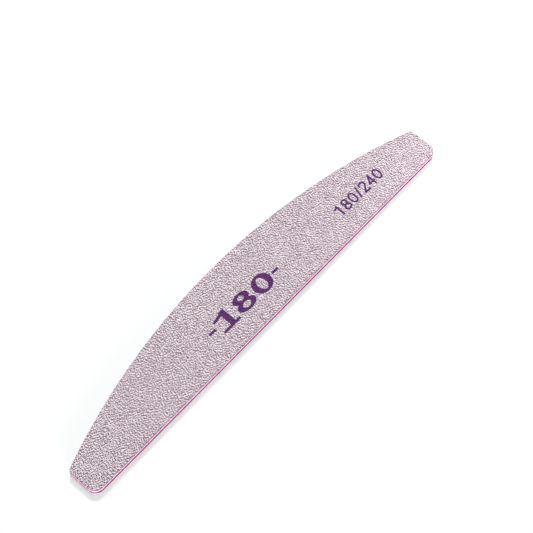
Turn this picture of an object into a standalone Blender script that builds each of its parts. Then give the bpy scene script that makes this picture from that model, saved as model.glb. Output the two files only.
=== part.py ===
"""Half-moon nail file, cushioned and double sided.

The file is a die-cut laminate of nine layers. A stiff coloured core plate lies between two soft
foam pads, and an abrasive sheet is glued on each outer face: 180 grit above, 240 grit below.
All layers share one outline with a straight edge, two short square ends with rounded corners, and
a long shallow crown. The die leaves its mark on each edge: the foam springs back and stands a
little hollow, the core keeps a clean edge with broken arrises, and the sheets' outer rims are
rolled over.

Lengths are in metres. X runs along the length, Y from the straight edge to the crown, and Z up
through the layers. The origin is under the middle of the file, on the surface that it lies on.
"""

import math

import bmesh
import bpy

# Outline that the die cuts
LENGTH = 0.178
WIDTH = 0.0282  # from the straight edge to the top of the crown
END_HEIGHT = 0.0125  # from the straight edge to where the crown runs out over the end
HEEL_RADIUS = 0.0036  # the two corners on the straight edge
SHOULDER_RADIUS = 0.0018  # the two corners under the crown

# Layer thicknesses, which come to 4.5 mm
BACKING_THICKNESS = 0.00022  # the paper of both abrasive sheets
GRIT_180_THICKNESS = 0.00012  # the coat of resin and grains on it
GRIT_240_THICKNESS = 0.00009
FILM_THICKNESS = 0.00005  # each of the four adhesive films
FOAM_THICKNESS = 0.0012
CORE_THICKNESS = 0.00125

# Edges, as the die leaves them
RIM_RADIUS = 0.00015  # rolled outer rim of an abrasive sheet
SHEET_INSET = 0.00003  # how far the sheets end inside the core's edge
FILM_INSET = 0.00012
FOAM_INSET = 0.00005
FOAM_HOLLOW = 0.00014  # how far the foam's edge is drawn in at mid height
CORE_BREAK = 0.00006  # chamfer on the core's arrises

# Facets of the round stretches
CORNER_STEPS = 8
CROWN_STEPS = 60
RIM_STEPS = 3
HOLLOW_STEPS = 4
SMOOTH_ANGLE = math.radians(40)

# Finishes: linear red, green and blue shares, and roughness
ABRASIVE_COLOR_SHARES = (0.60, 0.52, 0.57)
FOAM_COLOR_SHARES = (0.83, 0.66, 0.74)
CORE_COLOR_SHARES = (0.50, 0.015, 0.19)
FILM_COLOR_SHARES = (0.72, 0.62, 0.60)
ABRASIVE_ROUGHNESS = 0.9
FOAM_ROUGHNESS = 0.8
CORE_ROUGHNESS = 0.45
FILM_ROUGHNESS = 0.3

OBJECT_NAME = "nail_file"


def arc(center, radius, start, end, steps):
    """Points of an arc about a centre, from one angle to another, both ends included."""
    points = []
    for step in range(steps + 1):
        angle = start + (end - start) * step / steps
        points.append((center[0] + radius * math.cos(angle), center[1] + radius * math.sin(angle)))
    return points


def crown_radius():
    """Radius of the crown, which rises from the end height to the full width over half a length."""
    rise = WIDTH - END_HEIGHT
    return ((LENGTH / 2) ** 2 + rise**2) / (2 * rise)


def outline(inset):
    """The file's outline drawn in by an inset, anticlockwise from the heel at +X.

    Each round stretch keeps its centre and loses the inset from its radius, so any two outlines
    run exactly parallel.
    """
    heel_x = LENGTH / 2 - HEEL_RADIUS
    heel_y = HEEL_RADIUS - WIDTH / 2
    crown_y = WIDTH / 2 - crown_radius()
    shoulder_x = LENGTH / 2 - SHOULDER_RADIUS
    shoulder_y = crown_y + math.sqrt((crown_radius() - SHOULDER_RADIUS) ** 2 - shoulder_x**2)
    crown_start = math.atan2(shoulder_y - crown_y, shoulder_x)
    crown_end = math.pi - crown_start
    heel_turn = math.pi / 2
    heel = HEEL_RADIUS - inset
    shoulder = SHOULDER_RADIUS - inset
    crown = crown_radius() - inset
    points = arc((heel_x, heel_y), heel, -heel_turn, 0, CORNER_STEPS)
    points += arc((shoulder_x, shoulder_y), shoulder, 0, crown_start, CORNER_STEPS)
    points += arc((0, crown_y), crown, crown_start, crown_end, CROWN_STEPS)[1:-1]
    points += arc((-shoulder_x, shoulder_y), shoulder, crown_end, math.pi, CORNER_STEPS)
    points += arc((-heel_x, heel_y), heel, math.pi, math.pi + heel_turn, CORNER_STEPS)
    return points


def square_edge(thickness, inset):
    """Edge profile with a plain cut: pairs of inset and height, from the bottom up."""
    return [(inset, 0), (inset, thickness)]


def broken_edge(thickness, chamfer):
    """Edge profile of a plate whose two arrises are chamfered."""
    return [(chamfer, 0), (0, chamfer), (0, thickness - chamfer), (chamfer, thickness)]


def hollow_edge(thickness, inset, hollow):
    """Edge profile that is drawn in at mid height, as cut foam springs back."""
    rings = []
    for step in range(HOLLOW_STEPS + 1):
        share = step / HOLLOW_STEPS
        rings.append((inset + hollow * math.sin(math.pi * share), thickness * share))
    return rings


def rolled_edge(thickness, inset, radius):
    """Edge profile that is square below and rolled over by a quarter round above."""
    rings = [(inset, 0)]
    for step in range(RIM_STEPS + 1):
        angle = math.pi / 2 * step / RIM_STEPS
        drawn_in = radius - radius * math.cos(angle)
        rings.append((inset + drawn_in, thickness - radius + radius * math.sin(angle)))
    return rings


def turned_over(thickness, rings):
    """The same edge profile with its upper side down."""
    return [(inset, thickness - height) for inset, height in reversed(rings)]


def finish(name, color_shares, roughness):
    """A plain opaque finish."""
    material = bpy.data.materials.new(name)
    material.use_nodes = True
    shader = material.node_tree.nodes["Principled BSDF"]
    shader.inputs["Base Color"].default_value = (*color_shares, 1)
    shader.inputs["Roughness"].default_value = roughness
    shader.inputs["Metallic"].default_value = 0
    return material


def ring_edges(shape, inset, height):
    """The closed loop of edges of one outline at one height."""
    corners = [shape.verts.new((x, y, height)) for x, y in outline(inset)]
    followers = corners[1:] + corners[:1]
    return [shape.edges.new(pair) for pair in zip(corners, followers)]


def loft(name, rings):
    """A closed mesh through the outlines of an edge profile, bridged one to the next."""
    shape = bmesh.new()
    loops = [ring_edges(shape, inset, height) for inset, height in rings]
    for lower, upper in zip(loops, loops[1:]):
        bmesh.ops.bridge_loops(shape, edges=lower + upper)
    for cap in (loops[0], loops[-1]):
        bmesh.ops.contextual_create(shape, geom=cap)
    bmesh.ops.recalc_face_normals(shape, faces=shape.faces)
    mesh = bpy.data.meshes.new(name)
    shape.to_mesh(mesh)
    shape.free()
    mesh.shade_smooth()
    mesh.set_sharp_from_angle(angle=SMOOTH_ANGLE)
    return mesh


def layer_stack():
    """The nine layers from the underside up: name, thickness, edge profile and finish."""
    abrasive = finish("coated_abrasive_paper", ABRASIVE_COLOR_SHARES, ABRASIVE_ROUGHNESS)
    foam = finish("soft_foam", FOAM_COLOR_SHARES, FOAM_ROUGHNESS)
    core = finish("coloured_polystyrene", CORE_COLOR_SHARES, CORE_ROUGHNESS)
    adhesive = finish("clear_adhesive", FILM_COLOR_SHARES, FILM_ROUGHNESS)
    coarse = BACKING_THICKNESS + GRIT_180_THICKNESS
    fine = BACKING_THICKNESS + GRIT_240_THICKNESS
    coarse_edge = rolled_edge(coarse, SHEET_INSET, RIM_RADIUS)
    fine_edge = turned_over(fine, rolled_edge(fine, SHEET_INSET, RIM_RADIUS))
    film_edge = square_edge(FILM_THICKNESS, FILM_INSET)
    foam_edge = hollow_edge(FOAM_THICKNESS, FOAM_INSET, FOAM_HOLLOW)
    core_edge = broken_edge(CORE_THICKNESS, CORE_BREAK)
    return (
        ("abrasive_sheet_240", fine, fine_edge, abrasive),
        ("sheet_film_240", FILM_THICKNESS, film_edge, adhesive),
        ("foam_pad_240", FOAM_THICKNESS, foam_edge, foam),
        ("core_film_240", FILM_THICKNESS, film_edge, adhesive),
        ("core_plate", CORE_THICKNESS, core_edge, core),
        ("core_film_180", FILM_THICKNESS, film_edge, adhesive),
        ("foam_pad_180", FOAM_THICKNESS, foam_edge, foam),
        ("sheet_film_180", FILM_THICKNESS, film_edge, adhesive),
        ("abrasive_sheet_180", coarse, coarse_edge, abrasive),
    )


def clear_scene():
    """Remove what the open file holds."""
    for leftover in list(bpy.data.objects):
        bpy.data.objects.remove(leftover)


def build():
    """Lay up the file, each layer face to face with the one under it."""
    clear_scene()
    collection = bpy.data.collections.new(OBJECT_NAME)
    bpy.context.scene.collection.children.link(collection)
    blank = bpy.data.objects.new("die_cut_blank", None)
    blank.empty_display_size = WIDTH
    collection.objects.link(blank)
    base_z = 0
    for name, thickness, edge, material in layer_stack():
        piece = bpy.data.objects.new(name, loft(name, edge))
        piece.data.materials.append(material)
        piece.location.z = base_z
        piece.parent = blank
        collection.objects.link(piece)
        base_z += thickness
    print(f"{OBJECT_NAME}: {LENGTH:.4f} x {WIDTH:.4f} x {base_z:.5f} m, crown radius {crown_radius():.4f} m")


build()
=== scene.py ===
"""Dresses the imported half-moon nail file and sets it in a plain studio.

The CAD gives nine plain layers. The core plate and the four adhesive films keep their meshes and
get worked materials. The two abrasive sheets and the two foam pads are rebuilt at the same places
and sizes: the sheets with their coat of grains in relief and a rim that the die has rolled over,
the foam with the cells that the die has cut open. The printed grades lie as thin ink on the grains.

Lengths are in metres, in the frame of the CAD: X along the file, Y from the straight edge to the
crown, Z up through the layers.
"""

import logging
import math
from dataclasses import dataclass
from enum import Enum

import bpy
import numpy as np
from mathutils import Euler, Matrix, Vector


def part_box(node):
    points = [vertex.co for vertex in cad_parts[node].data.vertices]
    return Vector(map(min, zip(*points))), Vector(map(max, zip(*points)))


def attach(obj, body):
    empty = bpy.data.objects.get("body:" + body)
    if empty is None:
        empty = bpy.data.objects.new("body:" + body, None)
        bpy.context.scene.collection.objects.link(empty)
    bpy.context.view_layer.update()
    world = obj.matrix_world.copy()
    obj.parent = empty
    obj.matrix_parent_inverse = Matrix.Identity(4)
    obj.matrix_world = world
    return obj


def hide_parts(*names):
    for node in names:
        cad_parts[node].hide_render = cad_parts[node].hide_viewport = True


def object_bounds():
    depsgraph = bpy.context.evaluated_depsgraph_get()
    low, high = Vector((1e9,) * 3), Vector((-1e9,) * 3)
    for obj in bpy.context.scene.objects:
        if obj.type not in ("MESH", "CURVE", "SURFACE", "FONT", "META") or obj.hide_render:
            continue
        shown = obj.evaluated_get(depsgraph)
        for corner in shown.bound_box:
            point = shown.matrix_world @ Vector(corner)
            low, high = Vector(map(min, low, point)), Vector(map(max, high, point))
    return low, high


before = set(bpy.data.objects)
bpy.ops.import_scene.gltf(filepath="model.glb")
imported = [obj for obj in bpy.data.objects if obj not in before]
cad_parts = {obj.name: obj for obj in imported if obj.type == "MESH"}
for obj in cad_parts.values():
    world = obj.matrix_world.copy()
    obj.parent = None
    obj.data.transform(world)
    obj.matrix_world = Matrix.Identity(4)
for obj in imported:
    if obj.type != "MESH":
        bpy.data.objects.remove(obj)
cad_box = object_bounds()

Array = np.ndarray
Socket = bpy.types.NodeSocket
Finish = bpy.types.Material
Pair = tuple[float, float]
Triple = tuple[float, float, float]
Color = Triple
Value = Socket | Color | float

BODY = "root"
MILLIMETRE = 0.001
END_BEGINS = 0.0868  # from the file's middle to where the cut edge begins to look like an end
END_IS_FULL = 0.0887
END_WANDER = 0.0004  # how far that limit wanders to and fro
WANDER_LENGTH = 0.002
SHARP = math.radians(60)  # facets that meet at more than this are not shaded as one
FAR = 9.0  # farther than any place lies from a printed sign, in heights of the sign
BOW_POINTS = 41

# Parts of a cloud pattern's range that are spread over a whole range, from soft clouds to hard ones
SOFT: Pair = (0.3, 0.7)
MIDDLING: Pair = (0.35, 0.65)
FIRM: Pair = (0.4, 0.6)
HARD: Pair = (0.42, 0.58)

log = logging.getLogger("nail_file")


class Side(Enum):
    """The two faces of the file, by their grit."""

    UPPER = "180"
    LOWER = "240"

    @property
    def up(self) -> int:
        """1 where the face looks up, -1 where it looks down."""
        return 1 if self is Side.UPPER else -1


class Slot(Enum):
    """Names of the record's material slots; the script does not use them."""

    PAPER = "abrasive_paper"
    FOAM = "foam"


class Recipe:
    """The node tree of one material, put together step by step."""

    def __init__(self, name: str, specular: float) -> None:
        """Start a material.

        Args:
            name: the material's name.
            specular: specular level of the shader.
        """
        self.material = bpy.data.materials.new(name)
        self.material.use_nodes = True
        self.tree = self.material.node_tree
        self.shader = self.tree.nodes["Principled BSDF"]
        self.shader.inputs["Specular IOR Level"].default_value = specular
        self.place = self._node("TexCoord", {}).outputs["Object"]
        self._split = self._node("SeparateXYZ", {"Vector": self.place})

    def _feed(self, socket: Socket, value: Value) -> None:
        """Link a socket to another, or set its own value.

        Args:
            socket: the input to feed.
            value: an output socket, a number or a colour.
        """
        if isinstance(value, Socket):
            self.tree.links.new(value, socket)
        else:
            socket.default_value = (*value, 1.0) if socket.type == "RGBA" else value

    def _node(self, kind: str, inputs: dict[str | int, Value], **settings: str) -> bpy.types.Node:
        """Add a node.

        Args:
            kind: the shader node's type.
            inputs: what is fed to its inputs.
            settings: its own settings.

        Returns:
            The node.
        """
        node = self.tree.nodes.new(f"ShaderNode{kind}")
        for name, setting in settings.items():
            setattr(node, name, setting)
        for key, value in inputs.items():
            self._feed(node.inputs[key], value)
        return node

    def drawn_up(self, factor: float) -> Socket:
        """The place on the piece, with each height counting for a fraction of itself."""
        inputs = {"Vector": self.place, "Scale": (1.0, 1.0, factor)}
        return self._node("Mapping", inputs).outputs["Vector"]

    def noise(self, size: float, detail: float = 2.0, place: Socket | None = None) -> Socket:
        """A cloud pattern from 0 to 1, by a cloud's length and the octaves of finer ones on it."""
        inputs = {"Scale": 1.0 / size, "Detail": detail, "Vector": place or self.place}
        return self._node("TexNoise", inputs).outputs["Fac"]

    def clouds(
        self, size: float, start: float, end: float, part: Pair = SOFT, detail: float = 2.0
    ) -> Socket:
        """A number between start and end that changes from cloud to cloud of the given size."""
        return self.ranged(self.noise(size, detail), *part, start, end)

    def cells(self, size: float) -> tuple[Socket, Socket]:
        """A pattern of irregular cells.

        Args:
            size: width of one cell.

        Returns:
            The distance from the cell's middle, and a random number of the cell, both from 0 to 1.
        """
        node = self._node("TexVoronoi", {"Scale": 1.0 / size, "Vector": self.place})
        split = self._node("SeparateColor", {"Color": node.outputs["Color"]})
        return node.outputs["Distance"], split.outputs["Red"]

    def picked(self, cells: tuple[Socket, ...], kinds: Pair, reach: Pair, share: float) -> Socket:
        """How much of each place belongs to a few cells, picked out by their random number.

        Args:
            cells: each cell's distance and random number.
            kinds: the random numbers at which a cell begins to count, and counts in full.
            reach: the distances from its middle at which a cell ends, and is full.
            share: what it comes to where it is full.

        Returns:
            The share, which is 0 away from these cells.
        """
        middle, kind = cells
        spots = self.times(self.ranged(kind, *kinds), self.ranged(middle, *reach))
        return self.times(spots, share)

    def own(self, name: str) -> Socket:
        """A number that the mesh carries at its points."""
        return self._node("Attribute", {}, attribute_name=name).outputs["Fac"]

    def on_axis(self, axis: str) -> Socket:
        """The place on one axis: X, Y or Z."""
        return self._split.outputs[axis]

    def near_end(self) -> Socket:
        """Tell the file's two ends from the rest of its edge.

        Returns:
            How much a place belongs to an end, from 0 to 1.
        """
        wandering = self.clouds(WANDER_LENGTH, -END_WANDER, END_WANDER)
        from_middle = self.joined("ABSOLUTE", self.on_axis("X"))
        return self.ranged(self.plus(from_middle, wandering), END_BEGINS, END_IS_FULL)

    def ranged(
        self, value: Socket, low: float, high: float, start: float = 0.0, end: float = 1.0
    ) -> Socket:
        """A number brought from the range low to high into start to end, and held inside it."""
        limits = {"From Min": low, "From Max": high, "To Min": start, "To Max": end}
        return self._node("MapRange", {"Value": value, **limits}).outputs["Result"]

    def between(self, share: Socket, start: float, end: float) -> Socket:
        """A share from 0 to 1 turned into a number from start to end."""
        return self.ranged(share, 0.0, 1.0, start, end)

    def joined(self, operation: str, first: Value, second: Value = 0.0) -> Socket:
        """Two numbers joined by an operation of the Math node."""
        return self._node("Math", {0: first, 1: second}, operation=operation).outputs["Value"]

    def plus(self, first: Value, second: Value) -> Socket:
        """Two numbers added."""
        return self.joined("ADD", first, second)

    def times(self, first: Value, second: Value) -> Socket:
        """Two numbers multiplied."""
        return self.joined("MULTIPLY", first, second)

    def ramp(self, value: Socket, stops: tuple[tuple[float, Color], ...]) -> Socket:
        """A number turned into a colour.

        Args:
            value: the number, from 0 to 1.
            stops: places and colours of the ramp, in order.

        Returns:
            The colour.
        """
        node = self._node("ValToRGB", {"Fac": value})
        elements = node.color_ramp.elements
        while len(elements) < len(stops):
            elements.new(0.5)
        for element, (position, color) in zip(elements, stops):
            element.position = position
            element.color = (*color, 1.0)
        return node.outputs["Color"]

    def mix(self, share: Value, first: Value, second: Value) -> Socket:
        """Two colours mixed.

        Args:
            share: how much of the second shows.
            first: the colour beneath.
            second: the colour on it.

        Returns:
            The mixed colour.
        """
        node = self._node("Mix", {"Factor": share}, data_type="RGBA")
        first_color, second_color = (socket for socket in node.inputs if socket.type == "RGBA")
        self._feed(first_color, first)
        self._feed(second_color, second)
        return next(socket for socket in node.outputs if socket.type == "RGBA")

    def bump(self, value: Socket, distance: float, under: Socket | None = None) -> Socket:
        """A normal bent by a height from 0 to 1 over a distance, on a coarser relief if given."""
        inputs = {"Height": value, "Distance": distance} | ({"Normal": under} if under else {})
        return self._node("Bump", inputs).outputs["Normal"]

    def finish(self, color: Value, roughness: Value, normal: Socket | None = None) -> Finish:
        """Feed the shader and hand over the material.

        Args:
            color: the base colour.
            roughness: the roughness.
            normal: the bent normal, if there is one.

        Returns:
            The material.
        """
        self._feed(self.shader.inputs["Base Color"], color)
        self._feed(self.shader.inputs["Roughness"], roughness)
        if normal is not None:
            self._feed(self.shader.inputs["Normal"], normal)
        return self.material


@dataclass(frozen=True)
class AbrasiveFinish:
    """Resin coat full of grains on latex paper."""

    name: str
    grain: float  # width of one grain
    painted_pit_shade: Color = (0.105, 0.073, 0.088)
    coat: Color = (0.475, 0.385, 0.43)
    painted_peak_highlight: Color = (0.95, 0.83, 0.90)
    dust: Color = (0.80, 0.72, 0.76)
    white_grain_and_glint: Color = (0.95, 0.93, 0.94)
    dark_grain: Color = (0.16, 0.11, 0.15)
    # the sheet's cut edge, and the painted shade along the rim
    cut_edge_and_rim_shade: Color = (0.20, 0.05, 0.14)
    paper: Color = (0.66, 0.52, 0.60)
    dusty_patch: float = 0.006
    shade_and_soil_patch: float = 0.0012
    fray: float = 0.0004
    fibre: float = 0.0003
    resin_bead: float = 0.00009
    resin_relief: float = 0.00002
    grain_relief: float = 0.00003

    def material(self) -> Finish:
        """Mix the finish.

        Returns:
            The material, which reads the mesh's relief, rim and rim shade numbers; it paints shade
            into the pits, highlight onto the high grains and shade along the rim.
        """
        recipe = Recipe(self.name, specular=0.3)
        cells = recipe.cells(self.grain)
        middle, kind = cells
        uneven = recipe.clouds(self.grain * 1.4, -0.20, 0.20, detail=1.0)
        level = recipe.plus(recipe.own("relief"), uneven)
        level = recipe.plus(level, recipe.between(kind, -0.10, 0.10))
        # painted shade in the low pits and painted highlight on the high grains, from the mesh's
        # relief
        coat = recipe.ramp(level, ((0.16, self.painted_pit_shade), (0.5, self.coat), (0.84, self.painted_peak_highlight)))
        dusty = recipe.clouds(self.dusty_patch, 0.0, 0.02, MIDDLING, 3.0)
        coat = recipe.mix(dusty, coat, self.dust)
        reach = (0.42, 0.30)
        # a few near-white grains: white grains, and painted glints
        coat = recipe.mix(recipe.picked(cells, (0.86, 0.88), reach, 0.85), coat, self.white_grain_and_glint)
        coat = recipe.mix(recipe.picked(cells, (0.10, 0.08), reach, 0.80), coat, self.dark_grain)
        # painted shade along the rim, with soiling: the coat darkens towards the outline, most
        # along the straight edge
        shaded_and_soiled = recipe.clouds(self.shade_and_soil_patch, 0.30, 0.55, MIDDLING)
        color = recipe.mix(recipe.times(recipe.own("rim_shade_and_soil"), shaded_and_soiled), coat, self.cut_edge_and_rim_shade)
        edge = recipe.ramp(recipe.noise(self.fibre), ((0.35, self.cut_edge_and_rim_shade), (0.65, self.paper)))
        edge = recipe.mix(0.7, edge, self.cut_edge_and_rim_shade)
        frayed = recipe.plus(recipe.own("rim"), recipe.clouds(self.fray, -0.25, 0.25))
        color = recipe.mix(recipe.ranged(frayed, 0.30, 0.65), color, edge)
        fine = recipe.bump(recipe.noise(self.resin_bead), self.resin_relief)
        normal = recipe.bump(recipe.ranged(middle, 0.45, 0.0), self.grain_relief, fine)
        return recipe.finish(color, recipe.between(kind, 0.95, 0.6), normal)


@dataclass(frozen=True)
class InkFinish:
    """Purple printing ink, thin on the grains."""

    ink: Color = (0.038, 0.008, 0.062)
    worn: Color = (0.146, 0.044, 0.204)
    bare: Color = (0.30, 0.22, 0.34)
    blotch: float = 0.0003
    missed_spot: float = 0.00028
    pore: float = 0.00012
    pore_relief: float = 0.00002

    def material(self) -> Finish:
        """Mix the finish.

        Returns:
            The material, which reads the mesh's relief numbers.
        """
        recipe = Recipe("printed_ink", specular=0.2)
        uneven = recipe.clouds(self.blotch, -0.2, 0.2, detail=3.0)
        level = recipe.plus(recipe.own("relief"), uneven)
        color = recipe.ramp(level, ((0.15, self.ink), (0.85, self.worn)))
        missed = recipe.picked(recipe.cells(self.missed_spot), (0.93, 0.95), (0.4, 0.25), 0.6)
        color = recipe.mix(missed, color, self.bare)
        normal = recipe.bump(recipe.noise(self.pore), self.pore_relief)
        return recipe.finish(color, recipe.between(level, 0.85, 0.65), normal)


@dataclass(frozen=True)
class FoamFinish:
    """Soft closed-cell foam with its cut cells."""

    body: Color = (0.93, 0.66, 0.82)
    pit_shade_and_cell_wall: Color = (0.70, 0.42, 0.58)
    pale: Color = (0.97, 0.80, 0.90)
    core_shade_and_smear: Color = (0.36, 0.05, 0.20)
    flushed: Color = (0.86, 0.44, 0.66)  # in stretches that the rule has wiped with core colour
    wiped_stretch: float = 0.014
    blotch: float = 0.0005
    shade_and_smear: float = 0.0003
    shade_and_smear_at_ends: float = 0.25  # how much of that darker core colour is left there
    cell: float = 0.00016
    cell_relief: float = 0.00003

    def material(self) -> Finish:
        """Mix the finish.

        Returns:
            The material, which reads how deep the mesh's pits are and how near the core is; it
            paints shade into the deeper pits and next to the core.
        """
        recipe = Recipe("cut_foam", specular=0.1)
        uneven = recipe.clouds(self.blotch, -0.18, 0.18, detail=3.0)
        level = recipe.plus(recipe.own("depth"), uneven)
        # painted shade: deeper cut cells are darker
        color = recipe.ramp(level, ((0.1, self.pale), (0.4, self.body), (1.0, self.pit_shade_and_cell_wall)))
        middle, kind = recipe.cells(self.cell)
        color = recipe.mix(recipe.times(recipe.ranged(middle, 0.1, 0.5), 0.18), color, self.pit_shade_and_cell_wall)
        wiped = recipe.clouds(self.wiped_stretch, 0.0, 0.32, (0.50, 0.62))
        color = recipe.mix(wiped, color, self.flushed)
        # next to the core: the rule's smear, with painted shade and core-coloured reflection
        shaded_and_smeared = recipe.times(recipe.own("core_shade_and_smear"), recipe.clouds(self.shade_and_smear, 0.5, 1.0))
        kept = recipe.between(recipe.near_end(), 1.0, self.shade_and_smear_at_ends)
        color = recipe.mix(recipe.times(shaded_and_smeared, kept), color, self.core_shade_and_smear)
        normal = recipe.bump(recipe.ranged(middle, 0.0, 0.5), self.cell_relief)
        return recipe.finish(color, recipe.between(kind, 0.7, 0.9), normal)


@dataclass(frozen=True)
class CoreFinish:
    """Coloured polystyrene sheet, cut by a steel rule."""

    low: float  # height of its underside
    high: float  # height of its upper side
    body: Color = (0.24, 0.014, 0.125)
    dark: Color = (0.065, 0.002, 0.032)
    strained: Color = (0.34, 0.06, 0.21)
    whitened: Color = (0.72, 0.38, 0.55)  # where the rule has turned the end
    break_height: float = 0.00009
    streak: float = 0.00022
    broad_streak: float = 0.0016
    streak_relief: float = 0.00004
    upright: float = 0.12  # how fast the streaks change up the edge, against along it
    dark_stretch: float = 0.0019
    strained_patch: float = 0.0007

    def material(self) -> Finish:
        """Mix the finish.

        Returns:
            The material, with the cutting rule's streaks up the edge and pale strained arrises.
        """
        recipe = Recipe("cut_polystyrene", specular=0.12)
        upright = recipe.drawn_up(self.upright)
        streaks = recipe.noise(self.streak, 3.0, upright)
        broad = recipe.noise(self.broad_streak, 2.0, upright)
        color = recipe.ramp(recipe.times(streaks, broad), ((0.12, self.dark), (0.32, self.body)))
        color = recipe.mix(recipe.clouds(self.dark_stretch, 0.0, 0.85, HARD), color, self.dark)
        height = recipe.on_axis("Z")
        under = recipe.ranged(height, self.low + self.break_height, self.low)
        over = recipe.ranged(height, self.high - self.break_height, self.high)
        patchy = recipe.clouds(self.strained_patch, 0.15, 0.55, FIRM)
        arris = recipe.times(recipe.joined("MAXIMUM", under, over), patchy)
        color = recipe.mix(arris, color, self.strained)
        turned = recipe.times(recipe.near_end(), recipe.ranged(broad, *HARD, 1.0, 0.5))
        color = recipe.mix(turned, color, self.whitened)
        roughness = recipe.ranged(streaks, *SOFT, 0.5, 0.7)
        return recipe.finish(color, roughness, recipe.bump(streaks, self.streak_relief))


@dataclass(frozen=True)
class FilmFinish:
    """Clear pressure-sensitive adhesive, tinted by what lies behind it, with dust in its edge."""

    name: str
    clear: Color
    dusty: Color
    at_ends: Color
    dust: float = 0.0004
    ripple: float = 0.0002
    ripple_relief: float = 0.00001

    def material(self) -> Finish:
        """Mix the finish.

        Returns:
            The material.
        """
        recipe = Recipe(self.name, specular=0.2)
        dust = recipe.clouds(self.dust, 0.0, 1.0, (0.4, 0.65), 3.0)
        color = recipe.mix(dust, self.clear, self.dusty)
        color = recipe.mix(recipe.near_end(), color, self.at_ends)
        normal = recipe.bump(recipe.noise(self.ripple), self.ripple_relief)
        return recipe.finish(color, recipe.between(dust, 0.25, 0.6), normal)


@dataclass(frozen=True)
class Outline:
    """The outline that the die cuts, with any outline parallel to it."""

    half_length: float
    half_width: float
    end_height: float = 0.0125
    heel: float = 0.0036
    shoulder: float = 0.0018

    @classmethod
    def of_cad(cls) -> "Outline":
        """The outline that fills the CAD's box."""
        low, high = cad_box
        return cls((high.x - low.x) / 2, (high.y - low.y) / 2)

    @property
    def crown(self) -> float:
        """Radius of the crown."""
        rise = 2 * self.half_width - self.end_height
        return (self.half_length**2 + rise**2) / (2 * rise)

    @property
    def crown_y(self) -> float:
        """Y of the crown's centre."""
        return self.half_width - self.crown

    @property
    def heel_center(self) -> Pair:
        """Centre of the heel corner at +X."""
        return self.half_length - self.heel, self.heel - self.half_width

    @property
    def shoulder_center(self) -> Pair:
        """Centre of the shoulder corner at +X."""
        x = self.half_length - self.shoulder
        return x, self.crown_y + math.sqrt((self.crown - self.shoulder) ** 2 - x**2)

    @property
    def crown_start(self) -> float:
        """Angle about the crown's centre at which the crown begins."""
        x, y = self.shoulder_center
        return math.atan2(y - self.crown_y, x)

    def lower(self, x: Array, inset: float) -> tuple[Array, Array]:
        """The straight edge with its two heels.

        Args:
            x: places along the file.
            inset: how far the outline is drawn in.

        Returns:
            Y of the edge at each place, and the normals there.
        """
        center_x, center_y = self.heel_center
        past = np.maximum(np.abs(x) - center_x, 0.0)
        radius = self.heel - inset
        drop = np.sqrt(np.maximum(radius**2 - past**2, 0.0))
        normals = np.stack([np.sign(x) * past / radius, -drop / radius], -1)
        return center_y - drop, normals

    def upper(self, x: Array, inset: float) -> tuple[Array, Array]:
        """The crown with its two shoulders.

        Args:
            x: places along the file.
            inset: how far the outline is drawn in.

        Returns:
            Y of the crown at each place, and the normals there.
        """
        center_x, center_y = self.shoulder_center
        crown = self.crown - inset
        small = self.shoulder - inset
        on_crown = np.abs(x) <= crown * math.cos(self.crown_start)
        over = np.sqrt(np.maximum(crown**2 - x**2, 0.0))
        past = np.abs(x) - center_x
        rise = np.sqrt(np.maximum(small**2 - np.minimum(past**2, small**2), 0.0))
        y = np.where(on_crown, self.crown_y + over, center_y + rise)
        across = np.where(on_crown, x / crown, np.sign(x) * past / small)
        up = np.where(on_crown, over / crown, rise / small)
        return y, np.stack([across, up], -1)

    def columns(self, inset: float, pitch: float) -> Array:
        """Places along the file, close together where the corners turn.

        Args:
            inset: how far the outline is drawn in.
            pitch: distance between two places.

        Returns:
            The places, from one end of the outline to the other.
        """
        center_x = self.heel_center[0]
        radius = self.heel - inset
        count = math.ceil(2 * center_x / pitch)
        turns = np.linspace(0, math.pi / 2, math.ceil(radius * math.pi / 2 / pitch) + 1)[1:]
        corner = center_x + radius * np.sin(turns)
        return np.concatenate([-corner[::-1], np.linspace(-center_x, center_x, count + 1), corner])

    def walk(self, pitch: float) -> tuple[Array, Array]:
        """The whole outline in even steps, anticlockwise from the start of the straight edge.

        Args:
            pitch: distance between two points, before it is evened out.

        Returns:
            The points, and the outward normals there.
        """
        heel_x, heel_y = self.heel_center
        shoulder_x, shoulder_y = self.shoulder_center
        start = self.crown_start
        quarter = math.pi / 2
        points: list[Pair] = []
        normals: list[Pair] = []

        def line(first: Pair, last: Pair, normal: Pair) -> None:
            """Add a straight stretch, without its last point.

            Args:
                first: its first point.
                last: its last point.
                normal: its outward normal.
            """
            steps = max(1, round(math.dist(first, last) / pitch))
            for i in range(steps):
                points.append(tuple(a + (b - a) * i / steps for a, b in zip(first, last)))
                normals.append(normal)

        def turn(center: Pair, radius: float, first: float, last: float) -> None:
            """Add a round stretch, without its last point.

            Args:
                center: its centre.
                radius: its radius.
                first: its first angle.
                last: its last angle.
            """
            steps = max(1, round(radius * (last - first) / pitch))
            for i in range(steps):
                angle = first + (last - first) * i / steps
                normals.append((math.cos(angle), math.sin(angle)))
                points.append(tuple(c + radius * n for c, n in zip(center, normals[-1])))

        line((-heel_x, -self.half_width), (heel_x, -self.half_width), (0.0, -1.0))
        turn((heel_x, heel_y), self.heel, -quarter, 0.0)
        line((self.half_length, heel_y), (self.half_length, shoulder_y), (1.0, 0.0))
        turn((shoulder_x, shoulder_y), self.shoulder, 0.0, start)
        turn((0.0, self.crown_y), self.crown, start, math.pi - start)
        turn((-shoulder_x, shoulder_y), self.shoulder, math.pi - start, math.pi)
        line((-self.half_length, shoulder_y), (-self.half_length, heel_y), (-1.0, 0.0))
        turn((-heel_x, heel_y), self.heel, math.pi, math.pi + quarter)
        return np.array(points), np.array(normals)


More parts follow.
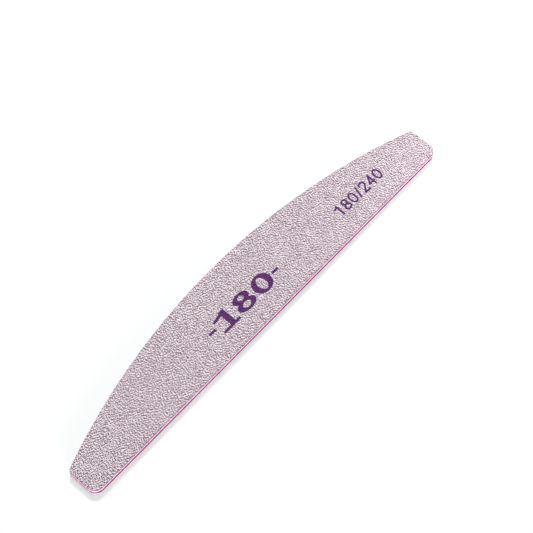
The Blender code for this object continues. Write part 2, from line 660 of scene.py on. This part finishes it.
def make_piece(
    name: str,
    points: Array,
    faces: list[list[int]],
    numbers: dict[str, Array],
    smooth: bool = True,
) -> bpy.types.Object:
    """Make an object from points and faces.

    Args:
        name: the piece's name.
        points: one row of three numbers for each point.
        faces: the faces, each a row of point numbers.
        numbers: what the mesh carries at its points, by name.
        smooth: whether it is shaded smooth.

    Returns:
        The object, linked to the scene.
    """
    mesh = bpy.data.meshes.new(name)
    mesh.from_pydata(points.tolist(), [], faces)
    for key, values in numbers.items():
        attribute = mesh.attributes.new(key, "FLOAT", "POINT")
        attribute.data.foreach_set("value", values.astype(np.float32))
    if smooth:
        mesh.shade_smooth()
    piece = bpy.data.objects.new(name, mesh)
    bpy.context.scene.collection.objects.link(piece)
    return piece


@dataclass(frozen=True)
class GrainCoat:
    """Relief of a coat of grains, a little drawn out by the coater."""

    seed: int
    grain: float  # width of one grain
    depth: float  # from the deepest pit to the highest grain
    clump: float  # from one clump of grains to the next, across the lay
    variety: float = 0.39  # how much that distance varies, as a share of it
    run: float = 0.08  # how far a clump keeps its height along the lay, in clumps
    evenness: float = 1.0  # patches larger than a clump over this share are evened out
    lay_degrees: float = -67.0  # which way the coater has drawn the grains, from the file's length
    steepness: float = 1.2  # how steeply the grains rise from the pits
    lattice: float = 0.0001
    spread: Pair = (2.2, 2.1)  # size of the lattice, in the file's half width and half length
    margin: int = 5  # lattice points before the file begins

    def _clumps(self, white: Array) -> Array:
        """Turn an even noise into clumps that run with the lay.

        Args:
            white: the noise.

        Returns:
            The clumps, with a spread of 1.
        """
        across = np.fft.fftfreq(white.shape[0], self.lattice)[:, None]
        along = np.fft.rfftfreq(white.shape[1], self.lattice)[None, :]
        lay = math.radians(self.lay_degrees)
        with_lay = (along * math.cos(lay) + across * math.sin(lay)) * self.clump
        over_lay = np.abs(across * math.cos(lay) - along * math.sin(lay)) * self.clump
        off_pitch = (over_lay - 1) / self.variety
        in_run = 2 * math.pi * self.run * with_lay
        window = np.exp(-0.5 * off_pitch**2 - 0.5 * in_run**2)
        window *= 1 - np.exp(-0.5 * (over_lay**2 + with_lay**2) / self.evenness**2)
        clumped = np.fft.irfft2(np.fft.rfft2(white) * window, white.shape)
        return clumped / clumped.std()

    def relief(self, outline: Outline, x: Array, y: Array) -> Array:
        """Height of the coat at each place.

        Args:
            outline: the file's outline.
            x: places along the file.
            y: places across it.

        Returns:
            Heights from 0, in the pits, to 1, on the highest grains.
        """
        halves = (outline.half_width, outline.half_length)
        shape = [int(times * half / self.lattice) for times, half in zip(self.spread, halves)]
        field = self._clumps(np.random.default_rng(self.seed).standard_normal(shape))
        column = (x + outline.half_length) / self.lattice + self.margin
        row = (y + outline.half_width) / self.lattice + self.margin
        left, low = column.astype(int), row.astype(int)
        right_share, up_share = column - left, row - low
        below = field[low, left] * (1 - right_share) + field[low, left + 1] * right_share
        above = field[low + 1, left] * (1 - right_share) + field[low + 1, left + 1] * right_share
        height = below * (1 - up_share) + above * up_share
        return 0.5 + 0.5 * np.tanh(self.steepness * height)


@dataclass
class GritSheet:
    """An abrasive sheet: paper with a coat of grains, its rim rolled over by the die."""

    side: Side
    outline: Outline
    coat: GrainCoat
    low: float  # height of the CAD sheet's underside
    high: float  # height of its upper side
    pitch: float = 0.00024
    inset: float = 0.00003
    rim: float = 0.00015
    rim_steps: int = 3
    border: float = 0.00033  # how far in the coat is darkened next to the outline: painted shade along the rim, with soiling by the die
    far_border: float = 0.3  # how much of that shows away from the straight edge
    notch: float = 0.000025  # how far grains have broken out of the rim
    most_notches: int = 3  # how many such breaks may come together
    clearance: float = 0.00001  # what the ink on the highest grains needs

    def _grid(self) -> None:
        """Lay the grid of the face and read the coat's relief on it."""
        inset = self.inset + self.rim
        across = self.outline.columns(inset, self.pitch)
        shares = np.linspace(0, 1, math.ceil(2 * self.outline.half_width / self.pitch) + 1)
        lower, lower_normals = self.outline.lower(across, inset)
        upper, upper_normals = self.outline.upper(across, inset)
        self.x = np.repeat(across[:, None], len(shares), 1)
        self.y = lower[:, None] + (upper - lower)[:, None] * shares[None, :]
        self.relief = self.coat.relief(self.outline, self.x, self.y)
        from_ends = self.outline.half_length - inset - np.abs(self.x)
        # darker border inside the outline: painted rim shade with soiling, full along the straight
        # edge
        near_edge = np.clip(1 - (self.y - lower[:, None]) / self.border, 0, 1)
        far = np.clip(1 - np.minimum(upper[:, None] - self.y, from_ends) / self.border, 0, 1)
        self.rim_shade_and_soil = np.maximum(near_edge, self.far_border * far)
        self.edge_normals = lower_normals, upper_normals

    def _rings(self) -> list[Triple]:
        """The rings of points that lead from the face over the rim to the back.

        Returns:
            For each, how far out and how far down it lies, and how much it belongs to the cut.
        """
        rings = []
        for step in range(1, self.rim_steps + 1):
            angle = math.pi / 2 * step / self.rim_steps
            out, down = self.rim * math.sin(angle), self.rim * (1 - math.cos(angle))
            rings.append((out, down, step / self.rim_steps))
        thickness = self.high - self.low
        return [*rings, (self.rim, (self.rim + thickness) / 2, 1.0), (self.rim, thickness, 1.0)]

    def depth_at(self, relief: Array) -> Array:
        """How far below the CAD face a grain lies."""
        return self.clearance + self.coat.depth * (1 - relief)

    def to_height(self, below_face: Array) -> Array:
        """Height in the file's frame of something that far behind the sheet's face."""
        return self.high - below_face if self.side is Side.UPPER else self.low + below_face

    def build(self) -> None:
        """Build the sheet as one closed mesh: the face, the rings of its rim, and the back."""
        self._grid()
        columns, rows = self.x.shape
        index = np.arange(columns * rows).reshape(columns, rows)
        a, b = index[:-1, :-1].ravel(), index[1:, :-1].ravel()
        c, d = index[1:, 1:].ravel(), index[:-1, 1:].ravel()
        faces = np.concatenate([np.stack([a, b, d], -1), np.stack([b, c, d], -1)]).tolist()
        loop = np.concatenate([index[:-1, 0], index[-1, :-1], index[:0:-1, -1], index[0, :0:-1]])
        lower, upper = self.edge_normals
        sideways = np.tile([1.0, 0.0], (rows - 1, 1))
        normals = np.concatenate([lower[:-1], sideways, upper[:0:-1], -sideways])
        grids = (self.x, self.y, self.depth_at(self.relief))
        points = [np.stack([grid.ravel() for grid in grids], -1)]
        relief, rim_shade_and_soil = self.relief.ravel(), self.rim_shade_and_soil.ravel()
        numbers = {"relief": [relief], "rim": [np.zeros(columns * rows)], "rim_shade_and_soil": [rim_shade_and_soil]}
        edge = points[0][loop, :2]
        random = np.random.default_rng(self.coat.seed + 1)
        notches = np.abs(random.normal(0, self.notch, len(loop)))
        notches = np.minimum(notches + np.roll(notches, 1), self.most_notches * self.notch)
        thickness = self.high - self.low
        start = columns * rows
        previous = loop
        for out, down, rolled in self._rings():
            cut = 0 if down >= thickness else rolled  # the back keeps a clean edge
            ring_points = edge + normals * (out - notches * cut)[:, None]
            sunk = down + (1 - rolled) * self.depth_at(relief[loop]) + cut * self.clearance
            points.append(np.column_stack([ring_points, np.minimum(sunk, thickness)]))
            numbers["relief"].append(relief[loop])
            numbers["rim"].append(np.full(len(loop), rolled))
            numbers["rim_shade_and_soil"].append(rim_shade_and_soil[loop])
            ring = np.arange(start, start + len(loop))
            start += len(loop)
            ahead, ring_ahead = np.roll(previous, -1), np.roll(ring, -1)
            faces += np.stack([previous, ring, ring_ahead, ahead], -1).tolist()
            previous = ring
        faces.append(previous[::-1].tolist())
        place = np.concatenate(points)
        place[:, 2] = self.to_height(place[:, 2])
        if self.side is Side.LOWER:
            faces = [face[::-1] for face in faces]
        carried = {key: np.concatenate(values) for key, values in numbers.items()}
        self.piece = make_piece(f"grit_sheet_{self.side.value}", place, faces, carried)

    def dress(self, finish: Finish) -> None:
        """Put the finish on, hang the piece on the body and hide the CAD sheet that it replaces.

        Args:
            finish: the coat's material.
        """
        self.piece.data.materials.append(finish)
        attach(self.piece, BODY)
        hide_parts(f"abrasive_sheet_{self.side.value}")


@dataclass
class FoamLayer:
    """A foam pad whose cut edge stands a little hollow and shows its open cells."""

    side: Side
    outline: Outline
    low: float
    high: float
    seed: int
    pitch: float = 0.00016
    inset: float = 0.00005
    hollow: float = 0.00014
    rows: int = 9
    cell_radius: Pair = (0.00009, 0.00024)
    cell_depth: float = 0.75  # in radii
    cells_per_millimetre: float = 9.0
    skin: float = 0.12  # share of the height, below and above, over which the cells run out
    shade_and_smear: float = 0.00015  # how far up from the core the core's colour reaches: the rule's smear, with painted shade and core-coloured reflection

    def _pits(self, along: Array, up: Array, length: float) -> Array:
        """Depth of the cut cells over the edge.

        Args:
            along: place of each column on the way round.
            up: place of each row on the way up.
            length: the whole way round.

        Returns:
            The depth at each column and row.
        """
        random = np.random.default_rng(self.seed)
        depth = np.zeros((len(along), len(up)))
        count = int(length / MILLIMETRE * self.cells_per_millimetre)
        places = random.uniform(0, length, count)
        heights = random.uniform(up[0], up[-1], count)
        radii = random.uniform(*self.cell_radius, count)
        step = length / len(along)
        for place, height, radius in zip(places, heights, radii):
            reach = int(radius / step) + 1
            middle = int(place / step)
            near = np.arange(middle - reach, middle + reach + 2) % len(along)
            off = np.abs(along[near] - place)
            off = np.minimum(off, length - off)
            square = radius**2 - off[:, None] ** 2 - (up[None, :] - height) ** 2
            bowl = self.cell_depth * np.sqrt(np.maximum(square, 0.0))
            depth[near] = np.maximum(depth[near], bowl)
        return depth

    def build(self) -> None:
        """Build the pad as one closed mesh: rings up the cut edge, and two flat sides."""
        path, normals = self.outline.walk(self.pitch)
        steps = np.linalg.norm(np.roll(path, -1, 0) - path, axis=1)
        along = np.concatenate([[0.0], np.cumsum(steps)[:-1]])
        thickness = self.high - self.low
        up = np.linspace(0, thickness, self.rows)
        pits = self._pits(along, up, float(steps.sum()))
        pits *= np.minimum(1.0, np.minimum(up, thickness - up) / (self.skin * thickness))
        insets = self.inset + self.hollow * np.sin(math.pi * up / thickness) + pits
        from_core = up if self.side is Side.UPPER else up[::-1]
        near_core = np.clip(1 - from_core / self.shade_and_smear, 0, 1)
        count = len(path)
        rings = [
            np.column_stack([path - normals * inset[:, None], np.full(count, self.low + height)])
            for inset, height in zip(insets.T, up)
        ]
        faces: list[list[int]] = []
        for row in range(self.rows - 1):
            below = np.arange(count) + row * count
            above = below + count
            faces += np.stack([below, np.roll(below, -1), np.roll(above, -1), above], -1).tolist()
        faces.append(list(range(count))[::-1])
        faces.append(list(range((self.rows - 1) * count, self.rows * count)))
        depths = pits.T.ravel() / self.cell_radius[1]
        numbers = {"depth": depths, "core_shade_and_smear": np.repeat(near_core, count)}
        piece = make_piece(f"cut_foam_{self.side.value}", np.concatenate(rings), faces, numbers)
        piece.data.set_sharp_from_angle(angle=SHARP)
        self.piece = piece

    def dress(self, finish: Finish) -> None:
        """Put the finish on, hang the piece on the body and hide the CAD pad that it replaces.

        Args:
            finish: the foam's material.
        """
        self.piece.data.materials.append(finish)
        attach(self.piece, BODY)
        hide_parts(f"foam_pad_{self.side.value}")


def bow(center: Pair, radii: Pair, first: float = 0, last: float = 360) -> list[Pair]:
    """Points of a part of an ellipse.

    Args:
        center: its centre.
        radii: its half width and half height.
        first: the first angle in degrees.
        last: the last one.

    Returns:
        The points.
    """
    (x, y), (across, up) = center, radii
    angles = np.radians(np.linspace(first, last, BOW_POINTS))
    return [(x + across * math.cos(angle), y + up * math.sin(angle)) for angle in angles]


class Numeral:
    """A plain sign in a box that is 1 high. Strokes that run out of the box end at its side."""

    NARROW = {"/": 0.38, "-": 0.42}  # widths of the signs that are no numerals

    def __init__(self, sign: str, width: float, weight: float, contrast: float) -> None:
        """Draw the strokes.

        Args:
            sign: a numeral, a slash, or a hyphen for a plain bar.
            width: width of a numeral.
            weight: width of an upright stroke.
            contrast: how many times thinner a level stroke is.
        """
        h = weight / 2
        t = h / contrast
        self.width = w = self.NARROW.get(sign, width)
        self.half = h
        self.contrast = contrast
        middle = w / 2
        waist = 0.52  # of an eight
        top, low = (1 - waist - t) / 2, (waist - t) / 2
        stem, bar = 0.72 * w, 0.24 + t  # of a four
        foot = [[(0.14 * w, t), (1.0 * w, t)]] if contrast > 1 else []  # of a one
        neck = (middle + (middle - h) * 0.866, 0.70 - (0.30 - t) * 0.5)  # where a two's bow ends
        self.strokes = {
            "0": lambda: [bow((middle, 0.5), (middle - h, 0.5 - t))],
            "1": lambda: [
                [(0.62 * w, -1), (0.62 * w, 2)],
                [(0.62 * w, 0.98 - t), (0.40 * w, 0.83), (0.14 * w, 0.74 + t / 2)],
                *foot,
            ],
            "2": lambda: [
                bow((middle, 0.70), (middle - h, 0.30 - t), 168, -30),
                [neck, (1.1 * h, t), (w + 1, t)],
            ],
            "4": lambda: [[(stem, -1), (stem, 2)], [(stem, 1.0 - t), (h, bar), (w + 1, bar)]],
            "8": lambda: [
                bow((middle, waist + top), (0.44 * w - h, top)),
                bow((middle, waist - low), (middle - h, low)),
            ],
            "/": lambda: [[(-0.5 * w, -1 + 2 * h), (1.5 * w, 2 - 2 * h)]],
            "-": lambda: [[(-1, 0.5), (2, 0.5)]],
        }[sign]()

    def distance(self, x: Array, y: Array) -> Array:
        """How far each place lies outside the sign, below 0 inside it.

        Args:
            x: places along the line, from the sign's left.
            y: places up from the base line.

        Returns:
            The distances, in heights of the sign.
        """
        best = np.full(x.shape, FAR)
        for stroke in self.strokes:
            for (ax, ay), (bx, by) in zip(stroke, stroke[1:]):
                dx, dy = bx - ax, (by - ay) * self.contrast
                off_x, off_y = x - ax, (y - ay) * self.contrast
                share = np.clip((off_x * dx + off_y * dy) / (dx * dx + dy * dy), 0, 1)
                best = np.minimum(best, np.hypot(off_x - share * dx, off_y - share * dy))
        box = np.maximum(np.maximum(-x, x - self.width), np.maximum(-y, y - 1))
        return np.maximum(best - self.half, box)


@dataclass
class GradePrint:
    """A printed grade: a thin film of ink that follows the grains of its sheet."""

    name: str
    sheet: GritSheet
    text: str
    left: float  # along the line of print, which runs to the reader's right
    height: float
    digit_width: float  # in numeral heights, as the next two
    weight: float
    gap: float
    contrast: float  # how many times thinner the level strokes are
    split: int  # how finely a facet of the sheet is divided
    base: float = -0.0065  # height of the base line over the file's middle
    proud: float = 0.000006
    sunk: float = 0.00002
    spare: float = 0.0005  # stretch of the sheet taken up on either side of the print
    least: float = 0.02  # how near to a corner of a facet the ink may end, in sides of the facet

    def _distance(self, x: Array, y: Array) -> Array:
        """How far each place lies outside the print, in metres.

        Args:
            x: places along the file.
            y: places across it.

        Returns:
            The distances, below 0 in the ink.
        """
        along = (x * self.sheet.side.up - self.left) / self.height
        up = (y - self.base) / self.height
        best = np.full(x.shape, FAR)
        start = 0.0
        for sign in self.text:
            numeral = Numeral(sign, self.digit_width, self.weight, self.contrast)
            best = np.minimum(best, numeral.distance(along - start, up))
            start += numeral.width + self.gap
        return best * self.height

    def _refined(self, values: Array) -> Array:
        """Read values of the sheet's grid on a finer grid, even over each facet.

        Args:
            values: the values at the sheet's columns and rows.

        Returns:
            The values at the finer ones.
        """
        columns = np.arange((values.shape[0] - 1) * self.split + 1) / self.split
        rows = np.arange((values.shape[1] - 1) * self.split + 1) / self.split
        i = np.minimum(columns.astype(int), values.shape[0] - 2)[:, None]
        j = np.minimum(rows.astype(int), values.shape[1] - 2)[None, :]
        u, v = columns[:, None] - i, rows[None, :] - j
        a, b, c, d = values[i, j], values[i + 1, j], values[i + 1, j + 1], values[i, j + 1]
        first = a + (b - a) * u + (d - a) * v
        second = c + (d - c) * (1 - u) + (b - c) * (1 - v)
        return np.where(u + v <= 1, first, second)

    def _cut(self) -> tuple[Array, list[list[int]]]:
        """Cut the printed part out of the sheet's face.

        Returns:
            The points, each with its place and relief, and the faces.
        """
        up = self.sheet.side.up
        width = len(self.text) * (self.digit_width + self.gap) * self.height
        first, last = sorted((self.left * up, (self.left + width) * up))
        near = np.searchsorted(self.sheet.x[:, 0], (first - self.spare, last + self.spare))
        part = slice(near[0], near[1] + 1)
        grids = (self.sheet.x, self.sheet.y, self.sheet.relief)
        x, y, relief = (self._refined(grid[part]) for grid in grids)
        distance = self._distance(x, y)
        inside = distance < 0
        cells = inside[:-1, :-1] | inside[1:, :-1] | inside[1:, 1:] | inside[:-1, 1:]
        numbers: dict[tuple[tuple[int, int], ...], int] = {}
        spots: list[Triple] = []
        faces: list[list[int]] = []

        def corner(*ends: tuple[int, int]) -> int:
            """Make a corner of the print, or find it again.

            Args:
                ends: the point of the grid that it is, or the two between which the ink ends.

            Returns:
                The corner's number.
            """
            key = tuple(sorted(ends))
            if key not in numbers:
                numbers[key] = len(spots)
                p, q = key[0], key[-1]
                share = 0.0
                if p != q:
                    share = distance[p] / (distance[p] - distance[q])
                    share = min(max(share, self.least), 1 - self.least)
                spots.append(tuple(v[p] + (v[q] - v[p]) * share for v in (x, y, relief)))
            return numbers[key]

        for i, j in np.argwhere(cells).tolist():
            right, above, beyond = (i + 1, j), (i, j + 1), (i + 1, j + 1)
            for facet in (((i, j), right, above), (right, beyond, above)):
                face: list[int] = []
                for p, q in zip(facet, facet[1:] + facet[:1]):
                    if inside[p]:
                        face.append(corner(p))
                    if inside[p] != inside[q]:
                        face.append(corner(p, q))
                if len(face) > 2:
                    faces.append(face)
        return np.array(spots), faces

    def build(self) -> None:
        """Make the ink from the sheet's own facets, so that it lies on every grain."""
        spots, faces = self._cut()
        count = len(spots)
        below = self.sheet.depth_at(spots[:, 2])
        top = np.column_stack([spots[:, :2], self.sheet.to_height(below - self.proud)])
        bottom = np.column_stack([spots[:, :2], self.sheet.to_height(below + self.sunk)])
        sides = [pair for face in faces for pair in zip(face, face[1:] + face[:1])]
        shared = {(q, p) for p, q in sides}
        walls = [[q, p, p + count, q + count] for p, q in sides if (p, q) not in shared]
        solid = faces + [[p + count for p in reversed(face)] for face in faces] + walls
        if self.sheet.side is Side.LOWER:
            solid = [face[::-1] for face in solid]
        numbers = {"relief": np.tile(spots[:, 2], 2)}
        self.piece = make_piece(self.name, np.concatenate([top, bottom]), solid, numbers, False)

    def dress(self, finish: Finish) -> None:
        """Put the ink on.

        Args:
            finish: the ink's material.
        """
        self.piece.data.materials.append(finish)
        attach(self.piece, BODY)


@dataclass
class CarriedLayers:
    """The layers whose CAD shape is right: the core plate and the adhesive films."""

    core: str = "core_plate"
    core_films: tuple[str, ...] = ("core_film_240", "core_film_180")
    sheet_films: tuple[str, ...] = ("sheet_film_240", "sheet_film_180")
    on_core: FilmFinish = FilmFinish(
        "adhesive_on_core",
        clear=(0.34, 0.05, 0.20),
        dusty=(0.22, 0.03, 0.13),
        at_ends=(0.66, 0.34, 0.50),
    )
    on_paper: FilmFinish = FilmFinish(
        "adhesive_on_paper",
        clear=(0.74, 0.58, 0.64),
        dusty=(0.50, 0.36, 0.43),
        at_ends=(0.66, 0.50, 0.58),
    )

    def dress(self) -> None:
        """Give each of them its worked material."""
        low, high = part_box(self.core)
        self._coat(self.core, CoreFinish(low.z, high.z).material())
        for names, finish in ((self.core_films, self.on_core), (self.sheet_films, self.on_paper)):
            film = finish.material()
            for name in names:
                self._coat(name, film)

    def _coat(self, name: str, material: Finish) -> None:
        """Put a material in all slots of a CAD node.

        Args:
            name: the node.
            material: its new material.
        """
        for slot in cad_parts[name].material_slots:
            slot.material = material
        log.info("%s keeps its CAD mesh and is dressed", name)


@dataclass(frozen=True)
class Lamp:
    """A round soft lamp that looks at the middle of the file."""

    name: str
    place: Triple
    size: float
    power: float

    def hang(self) -> None:
        """Hang the lamp in its place."""
        light = bpy.data.lights.new(self.name, "AREA")
        light.shape = "DISK"
        light.size = self.size
        light.energy = self.power
        holder = bpy.data.objects.new(self.name, light)
        holder.location = self.place
        holder.rotation_mode = "QUATERNION"
        holder.rotation_quaternion = (-Vector(self.place)).to_track_quat("-Z", "Y")
        holder.visible_camera = False
        bpy.context.scene.collection.objects.link(holder)


@dataclass(frozen=True)
class Studio:
    """A plain pale floor that glows a little and carries a painted shadow next to the file, soft
    light and the photograph's camera.
    """

    floor_size: float = 6.0
    floor_drop: float = 0.00002
    floor_color: Color = (0.535, 0.56, 0.557)
    floor_cloud: Color = (0.525, 0.55, 0.547)
    cloud_size: float = 0.3
    cloud_share: float = 0.02
    floor_glow: float = 0.43
    painted_shadow: Color = (0.462, 0.530, 0.492)  # painted shadow next to the file, grey-green against the pink light that the file throws on the floor
    painted_shadow_reach: float = 0.0016
    sky_strength: float = 0.45
    lamps: tuple[Lamp, ...] = (
        Lamp("key_lamp", (0.222, 0.235, 0.80), size=0.23, power=4.65),
        Lamp("fill_lamp", (-0.45, -0.70, 0.12), size=0.40, power=5.0),
        Lamp("end_lamp", (0.100, -0.040, 0.038), size=0.05, power=0.0135),
    )
    picture: int = 533
    sensor: float = 36.0
    focal_pixels: float = 1838.0
    turn_degrees: Triple = (-17.82, 20.33, 44.78)
    shift: Triple = (2.741, -18.576, -640.85)  # in millimetres, with the straight edge at Y 0
    sight: Pair = (0.01, 20.0)  # the nearest and the farthest that the camera sees

    def build(self) -> None:
        """Set up the floor, the light and the camera."""
        self._floor()
        self._light()
        self._camera()
        bpy.context.scene.view_settings.view_transform = "Standard"

    def _floor(self) -> None:
        """Lay the floor just under the file."""
        half = self.floor_size / 2
        z = cad_box[0].z - self.floor_drop
        corners = np.array([(-half, -half, z), (half, -half, z), (half, half, z), (-half, half, z)])
        floor = make_piece("floor", corners, [[0, 1, 2, 3]], {}, False)
        recipe = Recipe("pale_floor", specular=0.1)
        recipe.shader.inputs["Emission Color"].default_value = (1.0, 1.0, 1.0, 1.0)
        recipe.shader.inputs["Emission Strength"].default_value = self.floor_glow
        tone = recipe.clouds(self.cloud_size, 0.0, self.cloud_share)
        color = recipe.mix(tone, self.floor_color, self.floor_cloud)
        # painted shadow: the floor is greyer next to the file
        color = recipe.mix(self._painted_shadow_share(recipe), color, self.painted_shadow)
        floor.data.materials.append(recipe.finish(color, roughness=0.9))

    def _painted_shadow_share(self, recipe: Recipe) -> Socket:
        """How near a place on the floor is to the file's outline, where the painted shadow goes.

        Args:
            recipe: the floor's material.

        Returns:
            The share, from 0 out of reach to 1 at the outline and under the file.
        """
        outline = Outline.of_cad()
        x, y = recipe.on_axis("X"), recipe.on_axis("Y")
        off_end = recipe.plus(recipe.joined("ABSOLUTE", x), -outline.half_length)
        off_straight = recipe.plus(recipe.times(y, -1.0), -outline.half_width)
        from_center = recipe.plus(y, -outline.crown_y)
        square = recipe.plus(recipe.times(x, x), recipe.times(from_center, from_center))
        off_crown = recipe.plus(recipe.joined("POWER", square, 0.5), -outline.crown)
        off = recipe.joined("MAXIMUM", off_end, off_straight)
        return recipe.ranged(recipe.joined("MAXIMUM", off, off_crown), self.painted_shadow_reach, 0.0)

    def _light(self) -> None:
        """Hang the lamps under an even pale sky."""
        world = bpy.data.worlds.new("pale_sky")
        world.use_nodes = True
        background = world.node_tree.nodes["Background"]
        background.inputs["Color"].default_value = (1.0, 1.0, 1.0, 1.0)
        background.inputs["Strength"].default_value = self.sky_strength
        bpy.context.scene.world = world
        for lamp in self.lamps:
            lamp.hang()

    def _camera(self) -> None:
        """Stand the camera where the photograph was taken from."""
        data = bpy.data.cameras.new("camera")
        data.sensor_width = self.sensor
        data.lens = self.sensor * self.focal_pixels / self.picture
        data.clip_start, data.clip_end = self.sight
        turn = Euler([math.radians(angle) for angle in self.turn_degrees], "XYZ").to_matrix()
        holder = bpy.data.objects.new("camera", data)
        place = -(turn.transposed() @ (Vector(self.shift) * MILLIMETRE))
        place.y += cad_box[0].y
        holder.matrix_world = turn.transposed().to_4x4()
        holder.location = place
        bpy.context.scene.collection.objects.link(holder)
        bpy.context.scene.camera = holder


@dataclass
class NailFile:
    """The whole file."""

    coats: tuple[GrainCoat, GrainCoat] = (
        GrainCoat(seed=180, grain=0.00034, clump=0.00113, depth=0.00016),
        GrainCoat(seed=240, grain=0.00028, clump=0.00078, depth=0.00013),
    )

    def build(self) -> None:
        """Build and dress every piece."""
        outline = Outline.of_cad()
        ink, foam = InkFinish().material(), FoamFinish().material()
        CarriedLayers().dress()
        for side, coat in zip(Side, self.coats):
            bottom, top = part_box(f"foam_pad_{side.value}")
            self._make(FoamLayer(side, outline, bottom.z, top.z, seed=coat.seed + 7), foam)
            bottom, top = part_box(f"abrasive_sheet_{side.value}")
            sheet = GritSheet(side, outline, coat, bottom.z, top.z)
            self._make(sheet, AbrasiveFinish(f"grit_{side.value}_on_paper", coat.grain).material())
            for grade in self._prints(sheet):
                self._make(grade, ink)

    def _prints(self, sheet: GritSheet) -> list[GradePrint]:
        """The two printed grades of a face: its own in bold, and both in small numerals.

        Args:
            sheet: the face's abrasive sheet.

        Returns:
            The two prints.
        """
        grade = sheet.side.value
        bold = GradePrint(
            f"grade_{grade}",
            sheet,
            f"-{grade}-",
            left=-0.0211,
            height=0.0073,
            digit_width=1.15,
            weight=0.33,
            gap=0.14,
            contrast=2.4,
            split=2,
        )
        small = GradePrint(
            f"both_grades_{grade}",
            sheet,
            "180/240",
            left=0.04455,
            height=0.0047,
            digit_width=0.66,
            weight=0.15,
            gap=0.118,
            contrast=1.0,
            split=3,
        )
        return [bold, small]

    def _make(self, layer: FoamLayer | GritSheet | GradePrint, finish: Finish) -> None:
        """Build one piece, dress it and log it.

        Args:
            layer: what builds the piece.
            finish: its material.
        """
        layer.build()
        layer.dress(finish)
        log.info("%s: %d faces", layer.piece.name, len(layer.piece.data.polygons))


def main() -> None:
    """Build the file and its studio."""
    logging.basicConfig(level=logging.INFO, format="%(name)s: %(message)s")
    NailFile().build()
    Studio().build()


if __name__ == "__main__":
    main()
